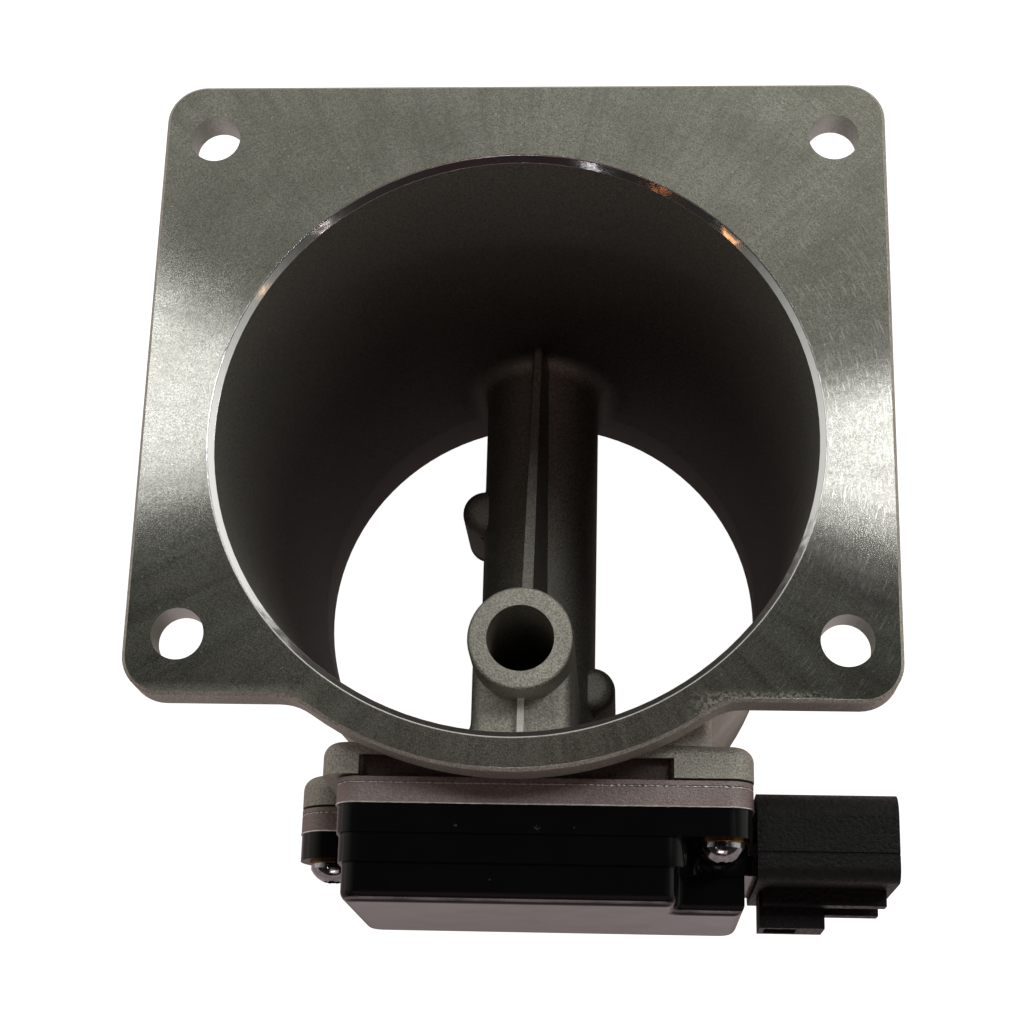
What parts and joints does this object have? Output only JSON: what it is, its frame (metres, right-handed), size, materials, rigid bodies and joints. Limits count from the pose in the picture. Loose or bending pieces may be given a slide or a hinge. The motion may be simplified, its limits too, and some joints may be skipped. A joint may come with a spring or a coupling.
{
  "type": "mass airflow sensor",
  "caption": "Mass airflow sensor: cast tapered duct with a flanged inlet, a bridge with a sampling tube, and a screwed-on electronics module with a plug socket.",
  "frame": {"origin": "centre of the bore at the outlet rim's end plane", "axes": "+Z upstream along the bore axis, towards the inlet flange; the electronics module is on the -Y side and its connector opens towards +X"},
  "size_m": [0.1122, 0.1268, 0.108],
  "materials": {
    "cast_aluminium": "shot-blasted casting with a machined flange face",
    "base_aluminium": "blasted casting",
    "gasket": "matt",
    "seal": "matt silicone",
    "housing": "glossy black moulding with a textured connector",
    "cover": "glossy black moulding",
    "sleeve": "turned",
    "module_screw": "zinc plated",
    "board": "solder resist",
    "chip": "matt",
    "transistor": "matt with a tinned tab",
    "capacitor": "matt",
    "jumper": "bright ribbon",
    "stem": "glass-filled moulding",
    "ring": "matt",
    "element": "glass-coated rod with welded caps",
    "bypass_cover": "glass-filled moulding",
    "cover_screw": "zinc plated",
    "terminal": "tin plated",
    "prong": "drawn wire"
  },
  "bodies": {
    "root": {"main_casting": "cast_aluminium", "base_gasket": "gasket", "module_base": "base_aluminium", "housing_seal": "seal", "module_housing": "housing", "housing_cover": "cover", "compression_sleeves": "sleeve", "module_screws": "module_screw", "circuit_board": "board", "control_chip": "chip", "driver_transistor": "transistor", "board_capacitors": "capacitor", "board_jumpers": "jumper", "sensor_stem": "stem", "stem_ring": "ring", "hot_wire_element": "element", "air_temperature_element": "element", "bypass_cover": "bypass_cover", "bypass_cover_screws": "cover_screw", "terminal_1": "terminal", "terminal_2": "terminal", "terminal_3": "terminal", "terminal_4": "terminal", "terminal_5": "terminal", "terminal_6": "terminal", "element_prong_1": "prong", "element_prong_2": "prong", "element_prong_3": "prong", "element_prong_4": "prong"}
  },
  "joints": []
}
